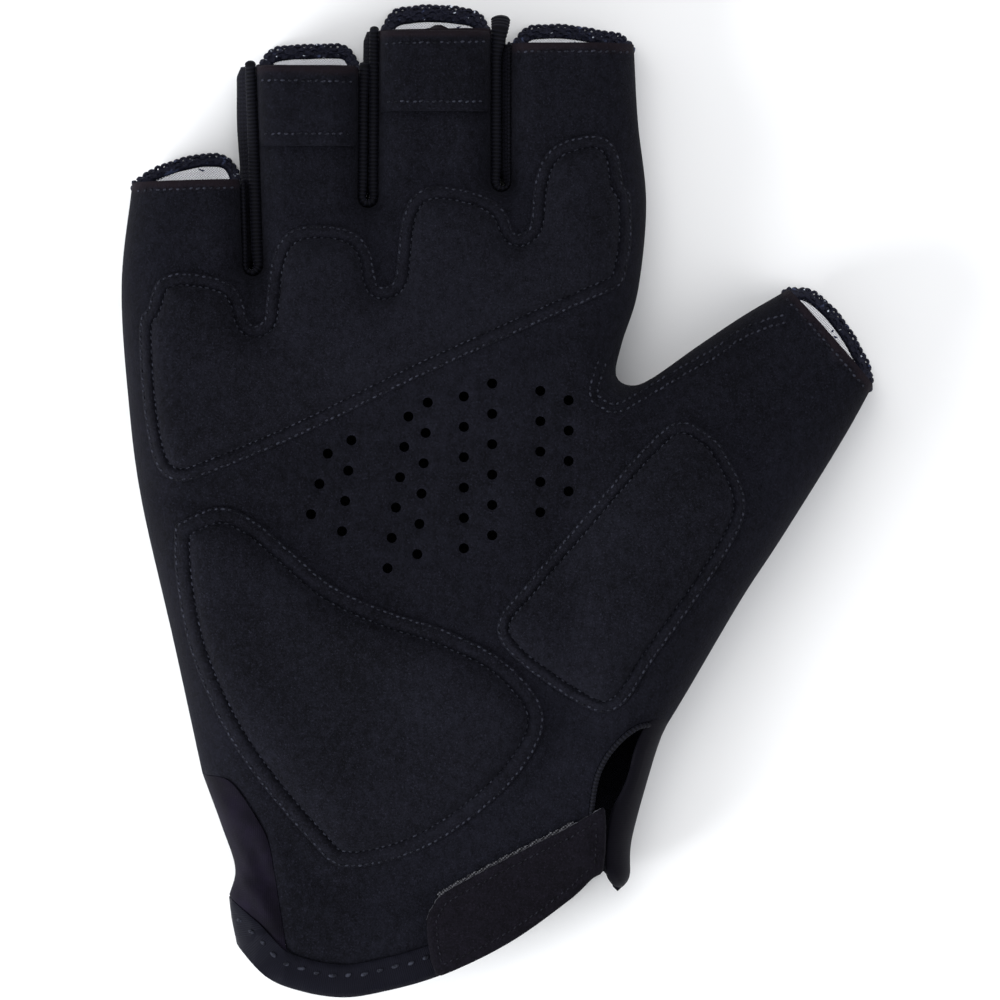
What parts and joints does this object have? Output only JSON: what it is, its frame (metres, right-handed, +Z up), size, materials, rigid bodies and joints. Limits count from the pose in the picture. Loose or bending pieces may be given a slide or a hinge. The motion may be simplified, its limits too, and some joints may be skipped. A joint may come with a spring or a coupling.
{
  "type": "cycling glove",
  "caption": "Fingerless padded cycling glove for the right hand, lying palm up, with stitched palm pads, pull-off bands and a wrist strap.",
  "frame": {"origin": "on the flat of the back panel that the glove rests on, under the middle of the palm", "axes": "+Z up out of the palm, +Y along the glove to the fingertips, +X across the palm to the thumb side"},
  "size_m": [0.1449, 0.1909, 0.0292],
  "materials": {
    "palm_suede": "matte synthetic suede, perforated in the middle of the palm",
    "back_knit": "plain stretch knit, with a pale lining inside",
    "side_knit": "thin stretch knit between the fingers",
    "piping": "ribbed piping",
    "trim_knit": "navy knitted edging",
    "pad_suede": "matte synthetic suede over foam, double stitched",
    "jersey": "fine jersey knit",
    "cuff_ribbon": "ribbed elastic binding",
    "strap_suede": "matte synthetic suede, edge stitched",
    "hook_plastic": "woven hook tape"
  },
  "bodies": {
    "root": {"palm_panel": "palm_suede", "back_panel": "back_knit", "knuckle_pad": "pad_suede", "heel_pad": "pad_suede", "thumb_pad": "pad_suede", "pull_tab_ring": "strap_suede", "pull_tab_middle": "strap_suede", "side_gusset": "jersey", "cuff_binding": "cuff_ribbon", "vent_binding": "piping", "vent_flap": "back_knit", "hook_tape": "hook_plastic", "closure_strap": "strap_suede", "fourchette_pinky_ring": "side_knit", "slot_binding_pinky_ring": "piping", "fourchette_ring_middle": "side_knit", "slot_binding_ring_middle": "piping", "fourchette_middle_index": "side_knit", "slot_binding_middle_index": "piping", "finger_trim_pinky": "trim_knit", "finger_trim_ring": "trim_knit", "finger_trim_middle": "trim_knit", "finger_trim_index": "trim_knit", "finger_trim_thumb": "trim_knit"}
  },
  "joints": []
}
